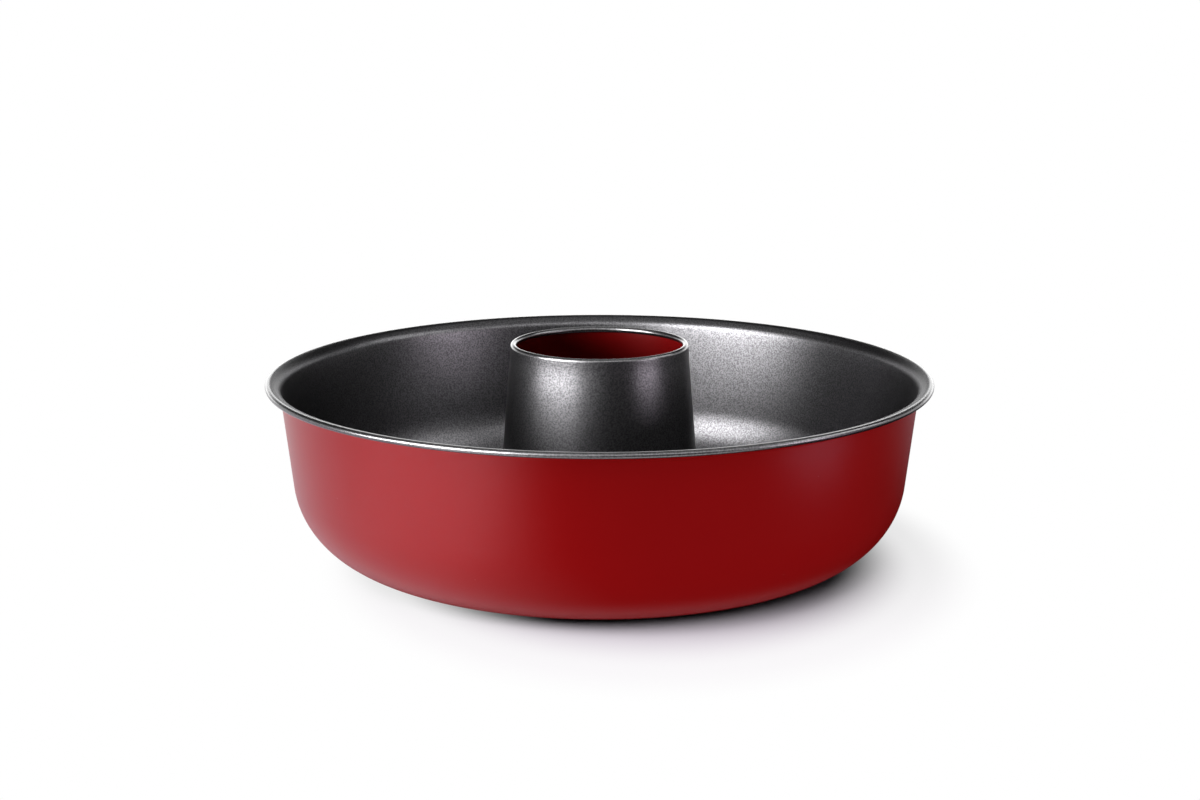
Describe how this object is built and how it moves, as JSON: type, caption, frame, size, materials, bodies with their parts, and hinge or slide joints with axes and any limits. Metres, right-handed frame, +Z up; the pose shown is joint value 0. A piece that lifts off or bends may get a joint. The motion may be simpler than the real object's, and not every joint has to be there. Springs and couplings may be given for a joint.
{
  "type": "savarin mould",
  "caption": "Round ring cake tin with drafted walls, a wide rounded bottom corner, a flared and curled rim, and an open tapered tube standing through its centre.",
  "frame": {"origin": "centre of the plane that the tin stands on", "axes": "+Z up along the axis of the ring and the tube; X and Y are alike because the tin is turned about Z"},
  "size_m": [0.26, 0.26, 0.082],
  "materials": {
    "red_lacquer": "satin gloss deep red lacquer on the outside of the pan and on the inside of the tube",
    "non_stick_coat": "dark grey metallic non-stick coat with a fine sparkling grain, on the food side and round the curled edges"
  },
  "bodies": {
    "root": {"ring_pan": "red_lacquer", "centre_tube": "non_stick_coat"}
  },
  "joints": []
}
